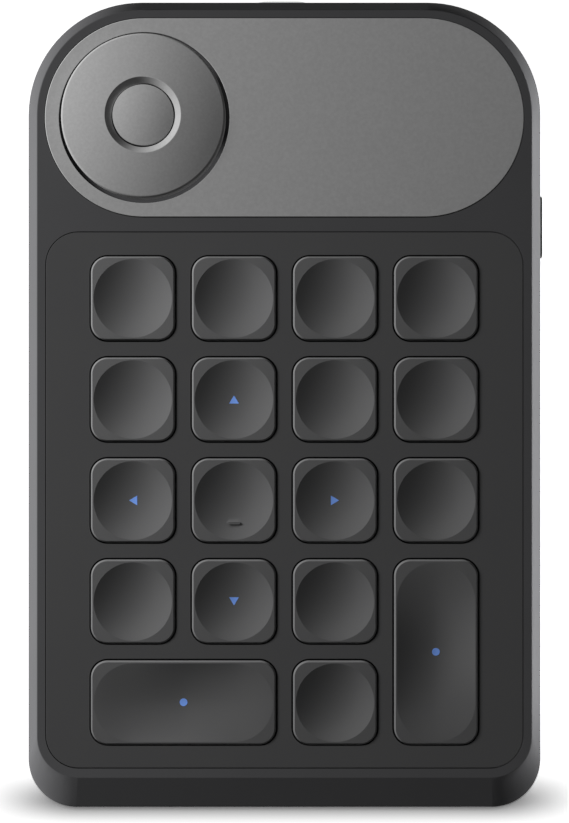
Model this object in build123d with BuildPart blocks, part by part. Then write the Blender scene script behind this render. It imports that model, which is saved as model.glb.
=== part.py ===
"""A slab keypad with eighteen keys and one push dial, made as separate pieces.

Millimetres, +Z up. The origin is on the desk plane, under the middle of the case, and +Y points to the back
edge, where the header panel, the dial and the USB-C socket are. Rows of keys count from the back, and columns
from the left.
"""

from build123d import *

import os
from math import asin, degrees, hypot, radians, sqrt, tan
from typing import NamedTuple

# ---------------------------------------------------------------- key grid
key_pitch = 19.05
row_count = 5
column_count = 4
cap_size = 15.8
cap_gap = 0.3
cap_corner_radius = 3.1
cap_edge = 0.28
cap_wall = 1.2
dish_diameter = 14.8
dish_depth = 0.9
long_dish_end = 9.5
homing_bar_length = 2.3
homing_bar_width = 0.5
homing_bar_proud = 0.2
homing_bar_offset = 4.25

# ---------------------------------------------------------------- margins in plan
deck_side_margin = 8.575
deck_back_margin = 4.65
deck_front_margin = 4.5
deck_corner_radius = 6.2
deck_gap = 0.12
deck_ledge = 2.0
deck_side_ledge = 5.0
side_bezel = 1.7
front_bezel = 1.85
back_bezel = 1.6
header_gap = 2.85
header_height = 37.5
header_side_bezel = 1.525
header_seam = 0.12

# ---------------------------------------------------------------- case walls and facets
side_facet = 1.9
front_facet = 6.05
facet_drop = 3.5
back_corner_radius = 21.4
front_corner_radius = 9.1
rim_back_radius = 19.8
rim_front_radius = 7.7
rim_edge_radius = 0.25
shoulder_edge_radius = 0.6
base_edge_radius = 2.0
wall = 2.0
lip_inset = 1.1
lip_height = 0.8
lip_gap = 0.1

# ---------------------------------------------------------------- stack of heights
foot_proud = 1.0
foot_seat = 0.5
floor_thickness = 1.6
base_height = 2.6
board_standoff = 0.4
board_thickness = 1.0
dome_height = 2.3
dome_gap = 0.05
barb_height = 0.6
barb_gap = 0.05
guide_thickness = 1.0
skirt_gap = 0.1
key_travel = 1.3
skirt_height = 0.6
roof_thickness = 1.0
cap_proud = 0.75
deck_thickness = 1.2
deck_proud = 0.15
ledge_thickness = 1.15
header_thickness = 1.1
header_proud = 0.1

# ---------------------------------------------------------------- key stems, domes and guide frame
stem_size = 4.5
stem_gap = 0.1
barb_reach = 0.4
barb_taper = 25.0
barrel_wall = 1.0
barrel_height = 0.5
rib_thickness = 1.6
guide_margin = 1.3
post_radius = 1.6
dome_base_radius = 4.2
dome_flange = 0.35
dome_foot_radius = 3.5
dome_top_radius = 2.3
dome_skin = 0.4
dome_nub_radius = 1.1
dome_nub_gap = 1.0

# ---------------------------------------------------------------- stabiliser bars of the long keys
bar_radius = 0.4
bar_half_span = 13.0
bar_arm = 6.0
bar_hook = 1.7
bar_bend = 1.0
bar_pivot_offset = -1.3
bar_slack = 0.08
ear_position = 10.4
ear_thickness = 1.4
ear_wall = 0.6
pivot_block_wall = 0.5
relief_gap = 0.3

# ---------------------------------------------------------------- dial and its encoder
knob_radius = 15.4
knob_hole_gap = 0.73
knob_lift = 0.4
knob_rim_rise = 3.8
knob_dome_rise = 1.4
knob_wall = 1.5
knob_rim_fillet = 0.5
knob_roof = 2.0
funnel_radius = 7.1
funnel_throat_radius = 6.0
funnel_depth = 1.05
funnel_edge = 0.15
hub_radius = 9.6
hub_hole_gap = 0.4
hub_lip = 1.5
post_outer_radius = 7.0
running_gap = 0.1
post_top_gap = 0.2
post_wall = 1.6
post_relief = 0.6
clip_thickness = 0.5
clip_gap = 0.15
clip_groove_depth = 0.55
clip_reach = 0.9
clip_opening = 50.0
hub_end_gap = 0.2
dog_width = 3.0
dog_height = 0.7
dog_gap = 0.1
encoder_floor = 0.8
encoder_wall = 0.9
rotor_thickness = 1.8
rotor_radius = 11.2
detent_count = 24
detent_depth = 0.25
detent_width = 0.7
spring_thickness = 0.2
spring_ridge_width = 0.4
spring_inner_radius = 7.6
spring_outer_radius = 10.8
spring_rise = 0.4

# ---------------------------------------------------------------- dial button and its snap dome
button_radius = 5.7
button_rim_drop = 0.5
button_dome_rise = 0.5
button_travel = 0.5
button_stop_gap = 0.1
button_skirt_wall = 1.0
button_edge = 0.2
button_plunger_radius = 1.4
button_lug_reach = 0.45
button_lug_height = 0.6
button_lug_width = 2.0
snap_dome_radius = 2.6
snap_dome_height = 1.25
snap_dome_skin = 0.25
snap_dome_gap = 0.05

# ---------------------------------------------------------------- power button, USB-C socket and board
power_length = 11.7
power_height = 2.3
power_proud = 0.4
power_travel = 0.3
power_gap = 0.15
power_corner_radius = 0.9
power_flange = 0.8
power_flange_reach = 0.9
power_flange_gap = 0.35
power_shaft = 3.0
power_from_parting = 2.25
power_from_back = 42.65
switch_body = 3.4
switch_length = 4.7
switch_height = 2.6
switch_tip = 0.8
switch_tip_radius = 0.8
switch_gap = 0.5
usb_width = 8.94
usb_thickness = 3.26
usb_depth = 7.35
usb_skin = 0.3
usb_proud = 0.25
usb_back_wall = 0.4
usb_offset = -0.45
usb_slot_gap = 0.18
usb_tongue_width = 6.69
usb_tongue_thickness = 0.7
usb_tongue_length = 4.45
usb_tongue_root = 1.6
board_back_gap = 1.45
board_side_gap = 0.7
board_front_gap = 6.4
board_corner_radius = 15.0
board_front_corner_radius = 2.0
chip_size = 7.0
chip_thickness = 0.9
chip_offset_x = -3.0
chip_offset_y = -10.0

# ---------------------------------------------------------------- battery, screws and feet
battery_width = 30.0
battery_length = 25.0
battery_thickness = 4.0
battery_centre_x = 23.0
battery_corner_radius = 1.6
battery_tab = 2.2
battery_clearance = 1.3
screw_inset = 4.25
screw_radius = 0.98
screw_length = 4.8
screw_head_radius = 1.75
screw_head_height = 1.2
screw_head_gap = 0.25
screw_clearance = 0.15
screw_thread_gap = 0.02
screw_slot_width = 0.4
screw_slot_length = 2.2
screw_slot_depth = 0.6
boss_radius = 2.5
base_boss_radius = 2.9
screw_from_front = 16.45
screw_from_back = 28.45
foot_length = 16.0
foot_width = 6.0
foot_edge = 0.3
foot_from_side = 14.0
foot_from_front = 10.5
foot_from_back = 12.5

# ---------------------------------------------------------------- places in plan worked out from the above
deck_width = (column_count - 1) * key_pitch + cap_size + 2 * deck_side_margin
deck_length = (row_count - 1) * key_pitch + cap_size + deck_front_margin + deck_back_margin
case_width = deck_width + 2 * (side_bezel + side_facet)
case_length = (
    front_facet + front_bezel + deck_length + header_gap + header_height + back_bezel + side_facet
)
case_side_x = case_width / 2
case_front_y = -case_length / 2
case_back_y = case_length / 2
deck_front_y = case_front_y + front_facet + front_bezel
deck_back_y = deck_front_y + deck_length
deck_centre_y = (deck_front_y + deck_back_y) / 2
header_width = case_width - 2 * (side_facet + header_side_bezel)
header_y = deck_back_y + header_gap + header_height / 2
dial_x = -(header_width - header_height) / 2
dial_y = header_y
dish_radius = ((dish_diameter / 2) ** 2 + dish_depth**2) / (2 * dish_depth)
long_dish_end_radius = (long_dish_end**2 + dish_depth**2) / (2 * dish_depth)

# ---------------------------------------------------------------- heights worked out from the above
underside_z = foot_proud
floor_z = underside_z + floor_thickness
parting_z = underside_z + base_height
board_z = floor_z + board_standoff
board_top_z = board_z + board_thickness
dome_top_z = board_top_z + dome_height
stem_z = dome_top_z + dome_gap
guide_z = stem_z + barb_height + barb_gap
guide_top_z = guide_z + guide_thickness
skirt_z = guide_top_z + skirt_gap + key_travel
cap_under_z = skirt_z + skirt_height
dish_z = cap_under_z + roof_thickness
cap_top_z = dish_z + dish_depth
deck_top_z = cap_top_z - cap_proud
deck_z = deck_top_z - deck_thickness
case_top_z = deck_top_z - deck_proud
shoulder_z = case_top_z - facet_drop
ceiling_z = deck_z - ledge_thickness
header_top_z = case_top_z + header_proud
header_z = header_top_z - header_thickness
knob_z = header_z + knob_lift
knob_rim_z = header_top_z + knob_rim_rise
knob_top_z = knob_rim_z + knob_dome_rise

# ---------------------------------------------------------------- clearances of the dial, worked out
hub_bore = post_outer_radius + running_gap
post_bore = post_outer_radius - post_wall
post_relief_bore = post_bore + post_relief
button_skirt_radius = post_bore - running_gap
rotor_top_z = board_top_z + encoder_floor + spring_rise + rotor_thickness
rotor_z = rotor_top_z - rotor_thickness
hub_z = rotor_top_z + hub_end_gap
clip_z = ceiling_z - clip_gap - clip_thickness
post_top_z = knob_top_z - funnel_depth - hub_lip - post_top_gap
button_under_z = post_top_z + button_stop_gap + button_travel
button_rim_z = knob_top_z - funnel_depth + button_rim_drop
button_lug_z = hub_z + dog_height


class Key(NamedTuple):
    """A key's node name, its centre, and how many pitches it spans along X and along Y."""

    name: str
    x: float
    y: float
    span_x: int = 1
    span_y: int = 1


def column_x(column):
    """The centre line of a column, counted from 1 at the left."""
    return (column - (column_count + 1) / 2) * key_pitch


def row_y(row):
    """The centre line of a row, counted from 1 at the back."""
    return deck_front_y + deck_front_margin + cap_size / 2 + (row_count - row) * key_pitch


def cap_width(key):
    """A key cap's size along X."""
    return cap_size + (key.span_x - 1) * key_pitch


def cap_length(key):
    """A key cap's size along Y."""
    return cap_size + (key.span_y - 1) * key_pitch


wide_key = Key("wide_key", (column_x(1) + column_x(2)) / 2, row_y(row_count), span_x=2)
tall_key = Key(
    "tall_key", column_x(column_count), (row_y(row_count - 1) + row_y(row_count)) / 2, span_y=2
)
single_keys = [
    Key(f"key_r{row}_c{column}", column_x(column), row_y(row))
    for row in range(1, row_count + 1)
    for column in range(1, column_count + 1)
    if not (row == row_count and column <= 2)
    and not (column == column_count and row >= row_count - 1)
]
keys = [*single_keys, wide_key, tall_key]
homing_key = "key_r3_c2"


def plan_outline(half_width, front_y, back_y, front_radius, back_radius):
    """The slab's plan: a rectangle with small corners at the front and large ones at the back."""
    with BuildSketch() as outline:
        with Locations((0, (front_y + back_y) / 2)):
            Rectangle(2 * half_width, back_y - front_y)
        corners = outline.vertices().group_by(Axis.Y)
        fillet(corners[0], front_radius)
        fillet(outline.vertices().group_by(Axis.Y)[-1], back_radius)
    return outline.sketch


def case_outline(inset=0.0):
    """The case's widest outline, moved inwards by an inset."""
    return plan_outline(
        case_side_x - inset,
        case_front_y + inset,
        case_back_y - inset,
        front_corner_radius - inset,
        back_corner_radius - inset,
    )


def rim_outline():
    """The edge of the case's top face, where the facets end."""
    return plan_outline(
        case_side_x - side_facet,
        case_front_y + front_facet,
        case_back_y - side_facet,
        rim_front_radius,
        rim_back_radius,
    )


def ceiling_outline():
    """The cavity at the underside of the top plate, one wall inside the sloping facets."""
    share = (ceiling_z - shoulder_z) / facet_drop
    side_inset = wall + side_facet * share
    front_inset = front_facet * share + wall * hypot(front_facet, facet_drop) / facet_drop
    return plan_outline(
        case_side_x - side_inset,
        case_front_y + front_inset,
        case_back_y - side_inset,
        rim_front_radius - wall,
        back_corner_radius - side_inset,
    )


def long_axes(key):
    """The directions along and across a long key, as unit vectors with across x along pointing down."""
    if key.span_x > 1:
        return Vector(1, 0, 0), Vector(0, 1, 0)
    return Vector(0, 1, 0), Vector(-1, 0, 0)


def export(part, name):
    """Label a finished piece and write it as the node of that name."""
    part.label = name
    export_step(part, f"parts/{name}.step")


os.makedirs("parts", exist_ok=True)

# ---------------------------------------------------------------- stabiliser bar geometry
bar_pivot_z = guide_z + guide_thickness / 2
bar_offset = bar_pivot_offset + sqrt(bar_arm**2 - key_travel**2)
bar_z = bar_pivot_z + key_travel
bar_shift = bar_arm - sqrt(bar_arm**2 - key_travel**2)


def key_cap(key):
    """A cap: scooped dish, hollow underside, guided stem with snap barbs, and ears on a long key."""
    width = cap_width(key)
    length = cap_length(key)
    with BuildPart() as cap:
        with BuildSketch(Plane((key.x, key.y, skirt_z))):
            RectangleRounded(width, length, cap_corner_radius)
        extrude(amount=cap_top_z - skirt_z)
        chamfer(cap.faces().sort_by(Axis.Z)[-1].edges(), cap_edge)
        with BuildSketch(Plane((key.x, key.y, skirt_z))):
            RectangleRounded(width - 2 * cap_wall, length - 2 * cap_wall, cap_corner_radius - cap_wall)
        extrude(amount=skirt_height, mode=Mode.SUBTRACT)

        with BuildSketch(Plane((key.x, key.y, stem_z))):
            Rectangle(stem_size, stem_size)
        extrude(amount=cap_under_z - stem_z)
        with BuildSketch(Plane((key.x, key.y, stem_z + barb_height))):
            Rectangle(stem_size + 2 * barb_reach, stem_size / 2)
        extrude(amount=-barb_height, taper=barb_taper)

        if key.span_x == key.span_y:
            # The ball's poles lie to the sides, so the dish is one even patch of it.
            with Locations((key.x, key.y, dish_z + dish_radius)):
                Sphere(dish_radius, rotation=(90, 0, 0), mode=Mode.SUBTRACT)
        else:
            along, across = long_axes(key)
            straight = max(width, length) - cap_size + dish_diameter - 2 * long_dish_end
            cut_height = dish_depth + cap_edge
            cut_half_width = sqrt(dish_radius**2 - (dish_radius - cut_height) ** 2)
            for side in (-1, 1):
                end = Vector(key.x, key.y, dish_z) + along * (side * straight / 2)
                with BuildSketch(Plane(end, x_dir=across, z_dir=along)) as scoop:
                    with BuildLine():
                        ThreePointArc((-cut_half_width, cut_height), (0, 0), (cut_half_width, cut_height))
                        Line((cut_half_width, cut_height), (-cut_half_width, cut_height))
                    make_face()
                extrude(amount=-side * straight / 2, mode=Mode.SUBTRACT)
                revolve(
                    scoop.sketch,
                    axis=Axis(end + Vector(0, 0, long_dish_end_radius), across * -side),
                    revolution_arc=degrees(asin(long_dish_end / long_dish_end_radius)) + 1,
                    mode=Mode.SUBTRACT,
                )
            for side in (-1, 1):
                ear = Vector(key.x, key.y, 0) + along * (side * ear_position) + across * bar_offset
                ear_low = bar_z - bar_radius - bar_slack - ear_wall
                ear_plane = Plane(ear + Vector(0, 0, bar_z), x_dir=across, z_dir=along)
                with BuildSketch(ear_plane):
                    with Locations((bar_shift / 2, (ear_low + cap_under_z) / 2 - bar_z)):
                        Rectangle(
                            2 * (bar_radius + bar_slack + ear_wall) + bar_shift, cap_under_z - ear_low
                        )
                    with Locations((bar_shift / 2, 0)):
                        SlotCenterToCenter(bar_shift, 2 * (bar_radius + bar_slack), mode=Mode.SUBTRACT)
                extrude(amount=ear_thickness / 2, both=True)

        if key.name == homing_key:
            bar_surface = dish_z + homing_bar_offset**2 / (2 * dish_radius)
            with BuildSketch(Plane((key.x, key.y - homing_bar_offset, bar_surface - homing_bar_proud))):
                SlotOverall(homing_bar_length, homing_bar_width)
            extrude(amount=2 * homing_bar_proud)
    return cap.part


def silicone_dome(key):
    """A hollow dome with a flange on the board and a contact nub inside."""
    axis_plane = Plane((key.x, key.y, 0), x_dir=(1, 0, 0), z_dir=(0, -1, 0))
    nub_z = board_top_z + dome_nub_gap
    roof_z = dome_top_z - 2 * dome_skin
    with BuildPart() as dome:
        with BuildSketch(axis_plane):
            with BuildLine():
                Polyline(
                    (0, dome_top_z),
                    (dome_top_radius, dome_top_z),
                    (dome_foot_radius, board_top_z + dome_flange),
                    (dome_base_radius, board_top_z + dome_flange),
                    (dome_base_radius, board_top_z),
                    (dome_foot_radius - dome_skin, board_top_z),
                    (dome_top_radius - dome_skin, roof_z),
                    (dome_nub_radius, roof_z),
                    (dome_nub_radius, nub_z),
                    (0, nub_z),
                    close=True,
                )
            make_face()
        revolve(axis=Axis((key.x, key.y, 0), (0, 0, 1)))
    return dome.part


for key in keys:
    export(key_cap(key), key.name)
    export(silicone_dome(key), f"{key.name}_dome")

# ---------------------------------------------------------------- stabiliser bars
for key in (wide_key, tall_key):
    along, across = long_axes(key)
    pivot = Vector(key.x, key.y, bar_pivot_z) + across * bar_pivot_offset
    arm_direction = (across * (bar_offset - bar_pivot_offset) + Vector(0, 0, key_travel)) * (1 / bar_arm)
    bar_plane = Plane(pivot, x_dir=along, z_dir=along.cross(arm_direction))
    with BuildPart() as bar:
        with BuildLine(bar_plane) as bar_route:
            FilletPolyline(
                (-bar_half_span + bar_hook, 0),
                (-bar_half_span, 0),
                (-bar_half_span, bar_arm),
                (bar_half_span, bar_arm),
                (bar_half_span, 0),
                (bar_half_span - bar_hook, 0),
                radius=bar_bend,
            )
        with BuildSketch(Plane(bar_route.line @ 0, z_dir=bar_route.line % 0)):
            Circle(bar_radius)
        sweep()
    export(bar.part, f"{key.name}_bar")

# ---------------------------------------------------------------- top case
screw_x = case_side_x - screw_inset
screw_rows = (case_front_y + screw_from_front, deck_centre_y + key_pitch, case_back_y - screw_from_back)
screw_points = [(side * screw_x, y) for side in (-1, 1) for y in screw_rows]
cavity_step_z = shoulder_z - facet_drop / 3
header_centre = (0, header_y)
dial_centre = (dial_x, dial_y)
hub_hole_radius = hub_radius + hub_hole_gap
power_y = case_back_y - power_from_back
power_z = parting_z + power_from_parting
power_face = Plane((case_side_x, power_y, power_z), x_dir=(0, 1, 0), z_dir=(1, 0, 0))
usb_z = board_top_z + usb_thickness / 2
usb_mouth_y = case_back_y + usb_proud
usb_mouth = Plane((usb_offset, usb_mouth_y, usb_z), x_dir=(1, 0, 0), z_dir=(0, -1, 0))
board_side_x = screw_x - boss_radius - board_side_gap
opening_width = deck_width - 2 * deck_side_ledge
opening_length = deck_length - 2 * deck_ledge

with BuildPart() as top_case:
    with BuildSketch(Plane.XY.offset(parting_z)):
        add(case_outline())
    extrude(amount=shoulder_z - parting_z)
    with BuildSketch(Plane.XY.offset(shoulder_z)):
        add(case_outline())
    with BuildSketch(Plane.XY.offset(case_top_z)):
        add(rim_outline())
    loft(ruled=True)
    fillet(top_case.faces().sort_by(Axis.Z)[-1].edges(), rim_edge_radius)
    fillet(top_case.edges().filter_by_position(Axis.Z, shoulder_z, shoulder_z), shoulder_edge_radius)

    # Hollow inside, with a sloping front that follows the wide front facet.
    with BuildSketch(Plane.XY.offset(parting_z)):
        add(case_outline(wall))
    extrude(amount=cavity_step_z - parting_z, mode=Mode.SUBTRACT)
    with BuildSketch(Plane.XY.offset(cavity_step_z)):
        add(case_outline(wall))
    with BuildSketch(Plane.XY.offset(ceiling_z)):
        add(ceiling_outline())
    loft(ruled=True, mode=Mode.SUBTRACT)

    # Pocket for the key deck and the opening that the keys work through.
    with BuildSketch(Plane.XY.offset(deck_z)):
        with Locations((0, deck_centre_y)):
            RectangleRounded(
                deck_width + 2 * deck_gap, deck_length + 2 * deck_gap, deck_corner_radius + deck_gap
            )
    extrude(amount=case_top_z - deck_z, mode=Mode.SUBTRACT)
    with BuildSketch(Plane.XY.offset(ceiling_z)):
        with Locations((0, deck_centre_y)):
            RectangleRounded(opening_width, opening_length, deck_corner_radius - deck_ledge)
    extrude(amount=case_top_z - ceiling_z, mode=Mode.SUBTRACT)

    # Pocket for the header panel and the hole for the dial's hub.
    with BuildSketch(Plane.XY.offset(header_z)):
        with Locations(header_centre):
            SlotOverall(header_width + 2 * header_seam, header_height + 2 * header_seam)
    extrude(amount=case_top_z - header_z, mode=Mode.SUBTRACT)
    with BuildSketch(Plane.XY.offset(ceiling_z)):
        with Locations(dial_centre):
            Circle(hub_hole_radius)
    extrude(amount=header_z - ceiling_z, mode=Mode.SUBTRACT)

    # Screw bosses under the top plate, and the rebate that takes the base's lip.
    with BuildSketch(Plane.XY.offset(parting_z)):
        with Locations(*screw_points):
            Circle(boss_radius)
    extrude(amount=ceiling_z - parting_z)
    with BuildSketch(Plane.XY.offset(parting_z)):
        with Locations(*screw_points):
            Circle(screw_radius + screw_thread_gap)
    extrude(amount=screw_length - (parting_z - floor_z) + screw_clearance, mode=Mode.SUBTRACT)
    with BuildSketch(Plane.XY.offset(parting_z)):
        add(case_outline(lip_inset - lip_gap))
        add(case_outline(wall + lip_gap), mode=Mode.SUBTRACT)
    extrude(amount=lip_height + lip_gap, mode=Mode.SUBTRACT)

    # Slots for the power button in the right wall and the USB-C shell in the back wall.
    with BuildSketch(power_face):
        RectangleRounded(
            power_length + 2 * power_gap, power_height + 2 * power_gap, power_corner_radius + power_gap
        )
    extrude(amount=-2 * wall, mode=Mode.SUBTRACT)
    with BuildSketch(usb_mouth):
        SlotOverall(usb_width + 2 * usb_slot_gap, usb_thickness + 2 * usb_slot_gap)
    extrude(amount=2 * wall + usb_proud, mode=Mode.SUBTRACT)
export(top_case.part, "top_case")

# ---------------------------------------------------------------- base shell
foot_x = case_side_x - foot_from_side
foot_rows = (case_front_y + foot_from_front, case_back_y - foot_from_back)
foot_points = [(side * foot_x, y) for side in (-1, 1) for y in foot_rows]
lattice_x = column_count / 2 * key_pitch
lattice_back_y = row_y(1) + key_pitch / 2
lattice_front_y = row_y(row_count) - key_pitch / 2
lattice_middle_y = row_y((row_count + 1) // 2) + key_pitch / 2
post_x = board_side_x - switch_body - switch_gap - post_radius
post_points = [
    (x, y)
    for x in (-post_x, 0, post_x)
    for y in (lattice_front_y, lattice_middle_y, lattice_back_y)
]
encoder_radius = rotor_radius + running_gap + encoder_wall
pad_points = [
    *post_points,
    (dial_x - encoder_radius / 2, dial_y + encoder_radius / 2),
    (dial_x + encoder_radius / 2, dial_y + encoder_radius / 2),
    (dial_x, dial_y - encoder_radius / 2),
]

with BuildPart() as base_shell:
    with BuildSketch(Plane.XY.offset(underside_z)):
        add(case_outline())
    extrude(amount=base_height)
    fillet(base_shell.faces().sort_by(Axis.Z)[0].edges(), base_edge_radius)
    with BuildSketch(Plane.XY.offset(floor_z)):
        add(case_outline(wall))
    extrude(amount=parting_z - floor_z, mode=Mode.SUBTRACT)
    with BuildSketch(Plane.XY.offset(parting_z)):
        add(case_outline(lip_inset))
        add(case_outline(wall), mode=Mode.SUBTRACT)
        with Locations((usb_offset, case_back_y)):
            Rectangle(usb_width + 4 * usb_slot_gap, 4 * wall, mode=Mode.SUBTRACT)
    extrude(amount=lip_height)
    with BuildSketch(Plane.XY.offset(floor_z)):
        with Locations(*screw_points):
            Circle(base_boss_radius)
    extrude(amount=parting_z - floor_z)
    with BuildSketch(Plane.XY.offset(floor_z)):
        with Locations(*pad_points):
            Circle(post_radius)
    extrude(amount=board_standoff)
    with BuildSketch(Plane.XY.offset(underside_z)):
        with Locations(*screw_points):
            Circle(screw_head_radius + screw_head_gap)
    extrude(amount=floor_thickness, mode=Mode.SUBTRACT)
    with BuildSketch(Plane.XY.offset(floor_z)):
        with Locations(*screw_points):
            Circle(screw_radius + screw_clearance)
    extrude(amount=parting_z - floor_z, mode=Mode.SUBTRACT)
    with BuildSketch(Plane.XY.offset(underside_z)):
        with Locations(*foot_points):
            SlotOverall(foot_length, foot_width)
    extrude(amount=foot_seat, mode=Mode.SUBTRACT)
export(base_shell.part, "base_shell")

# ---------------------------------------------------------------- rubber feet and case screws
with BuildPart() as rubber_feet:
    with BuildSketch():
        with Locations(*foot_points):
            SlotOverall(foot_length, foot_width)
    extrude(amount=foot_proud + foot_seat)
    chamfer(rubber_feet.faces().group_by(Axis.Z)[0].edges(), foot_edge)
export(rubber_feet.part, "rubber_feet")

with BuildPart() as case_screws:
    with BuildSketch(Plane.XY.offset(floor_z - screw_head_height)):
        with Locations(*screw_points):
            Circle(screw_head_radius)
    extrude(amount=screw_head_height)
    with BuildSketch(Plane.XY.offset(floor_z)):
        with Locations(*screw_points):
            Circle(screw_radius)
    extrude(amount=screw_length)
    with BuildSketch(Plane.XY.offset(floor_z - screw_head_height)):
        with Locations(*screw_points):
            Rectangle(screw_slot_length, screw_slot_width)
            Rectangle(screw_slot_width, screw_slot_length)
    extrude(amount=screw_slot_depth, mode=Mode.SUBTRACT)
export(case_screws.part, "case_screws")

# ---------------------------------------------------------------- key deck and header panel
with BuildPart() as key_deck:
    with BuildSketch(Plane.XY.offset(deck_z)):
        with Locations((0, deck_centre_y)):
            RectangleRounded(deck_width, deck_length, deck_corner_radius)
    extrude(amount=deck_thickness)
    chamfer(key_deck.faces().sort_by(Axis.Z)[-1].edges(), deck_proud)
    with BuildSketch(Plane.XY.offset(deck_z)):
        for key in keys:
            with Locations((key.x, key.y)):
                RectangleRounded(
                    cap_width(key) + 2 * cap_gap, cap_length(key) + 2 * cap_gap, cap_corner_radius + cap_gap
                )
    extrude(amount=deck_thickness, mode=Mode.SUBTRACT)
export(key_deck.part, "key_deck")

with BuildPart() as header_panel:
    with BuildSketch(Plane.XY.offset(header_z)):
        with Locations(header_centre):
            SlotOverall(header_width, header_height)
    extrude(amount=header_thickness)
    chamfer(header_panel.faces().sort_by(Axis.Z)[-1].edges(), header_proud)
    with BuildSketch(Plane.XY.offset(header_z)):
        with Locations(dial_centre):
            Circle(knob_radius + knob_hole_gap)
    extrude(amount=header_thickness, mode=Mode.SUBTRACT)
export(header_panel.part, "header_panel")

# ---------------------------------------------------------------- guide frame
barrel_size = stem_size + 2 * (stem_gap + barrel_wall)
well_margin = (key_pitch - cap_size - rib_thickness) / 2
guide_width = opening_width + 2 * guide_margin
guide_length = opening_length + 2 * guide_margin

with BuildPart() as guide_frame:
    with BuildSketch(Plane.XY.offset(guide_z)):
        with Locations((0, deck_centre_y)):
            RectangleRounded(guide_width, guide_length, deck_corner_radius - deck_ledge)
    extrude(amount=ceiling_z - guide_z)
    # One field of ribs stands up to the deck; each key has a well between them.
    with BuildSketch(Plane.XY.offset(ceiling_z)):
        with Locations((0, (lattice_back_y + lattice_front_y) / 2)):
            RectangleRounded(
                2 * lattice_x + rib_thickness,
                lattice_back_y - lattice_front_y + rib_thickness,
                deck_corner_radius - deck_ledge,
            )
    extrude(amount=deck_z - ceiling_z)
    with BuildSketch(Plane.XY.offset(guide_top_z)):
        for key in keys:
            with Locations((key.x, key.y)):
                Rectangle(cap_width(key) + 2 * well_margin, cap_length(key) + 2 * well_margin)
    extrude(amount=deck_z - guide_top_z, mode=Mode.SUBTRACT)
    # Barrels round the stems, pivot blocks for the stabiliser bars and posts down to the board.
    with BuildSketch(Plane.XY.offset(guide_top_z)):
        with Locations(*[(key.x, key.y) for key in keys]):
            Rectangle(barrel_size, barrel_size)
    extrude(amount=barrel_height)
    with BuildSketch(Plane.XY.offset(guide_z)):
        with Locations(*[(key.x, key.y) for key in keys]):
            Rectangle(stem_size + 2 * stem_gap, stem_size + 2 * stem_gap)
    extrude(amount=guide_thickness + barrel_height, mode=Mode.SUBTRACT)
    with BuildSketch(Plane.XY.offset(board_top_z)):
        with Locations(*post_points):
            Circle(post_radius)
    extrude(amount=guide_z - board_top_z)
    for key in (wide_key, tall_key):
        along, across = long_axes(key)
        middle = Vector(key.x, key.y, bar_pivot_z)
        block_reach = bar_radius + bar_slack + pivot_block_wall
        with BuildSketch(Plane(middle, x_dir=along, z_dir=(0, 0, 1))):
            slot_y = bar_offset + bar_shift / 2
            with Locations((0, slot_y)):
                Rectangle(
                    2 * (bar_half_span + bar_radius + relief_gap),
                    2 * (bar_radius + relief_gap) + bar_shift,
                )
            with Locations((-ear_position, slot_y), (ear_position, slot_y)):
                Rectangle(
                    ear_thickness + 2 * relief_gap,
                    2 * (bar_radius + bar_slack + ear_wall + relief_gap) + bar_shift,
                )
            arm_length = slot_y - bar_pivot_offset + block_reach
            with Locations(
                (-bar_half_span, slot_y - arm_length / 2), (bar_half_span, slot_y - arm_length / 2)
            ):
                Rectangle(2 * (bar_radius + relief_gap), arm_length)
        extrude(amount=guide_thickness, both=True, mode=Mode.SUBTRACT)
        for side in (-1, 1):
            block_end = bar_half_span - bar_radius - relief_gap
            block = middle + along * (side * block_end) + across * bar_pivot_offset
            with BuildSketch(Plane(block, x_dir=across, z_dir=along * -side)):
                Rectangle(2 * block_reach, 2 * block_reach)
            extrude(amount=bar_hook)
            with BuildSketch(Plane(block, x_dir=across, z_dir=along * -side)):
                Circle(bar_radius + bar_slack)
            extrude(amount=bar_hook, mode=Mode.SUBTRACT)
export(guide_frame.part, "guide_frame")

# ---------------------------------------------------------------- main board and what stands on it
board_front_y = case_front_y + wall + board_front_gap
board_back_y = case_back_y - wall - board_back_gap
battery_y = header_y
battery_cut_x = battery_centre_x - battery_width / 2 - battery_clearance
battery_cut_y = battery_y - battery_length / 2 - battery_tab - battery_clearance

with BuildPart() as main_board:
    with BuildSketch(Plane.XY.offset(board_z)) as board_outline:
        with Locations((0, (board_front_y + board_back_y) / 2)):
            Rectangle(2 * board_side_x, board_back_y - board_front_y)
        fillet(board_outline.vertices().group_by(Axis.Y)[0], board_front_corner_radius)
        fillet(board_outline.vertices().group_by(Axis.Y)[-1], board_corner_radius)
        with Locations((battery_cut_x, battery_cut_y)):
            Rectangle(
                case_width, case_length, align=(Align.MIN, Align.MIN), mode=Mode.SUBTRACT
            )
    extrude(amount=board_thickness)
export(main_board.part, "main_board")

with BuildPart() as controller_chip:
    with BuildSketch(Plane((chip_offset_x, header_y + chip_offset_y, board_top_z))):
        Rectangle(chip_size, chip_size)
    extrude(amount=chip_thickness)
    chamfer(controller_chip.faces().sort_by(Axis.Z)[-1].edges(), chip_thickness / 4)
export(controller_chip.part, "controller_chip")

with BuildPart() as battery:
    with BuildSketch(Plane((battery_centre_x, battery_y, floor_z))):
        Rectangle(battery_width, battery_length)
    extrude(amount=battery_thickness)
    fillet(battery.edges().filter_by(Axis.Y), battery_corner_radius)
    with BuildSketch(Plane((battery_centre_x, battery_y - battery_length / 2, floor_z))):
        Rectangle(battery_width - 4 * battery_corner_radius, 2 * battery_tab)
    extrude(amount=battery_thickness / 3)
export(battery.part, "battery")

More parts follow.
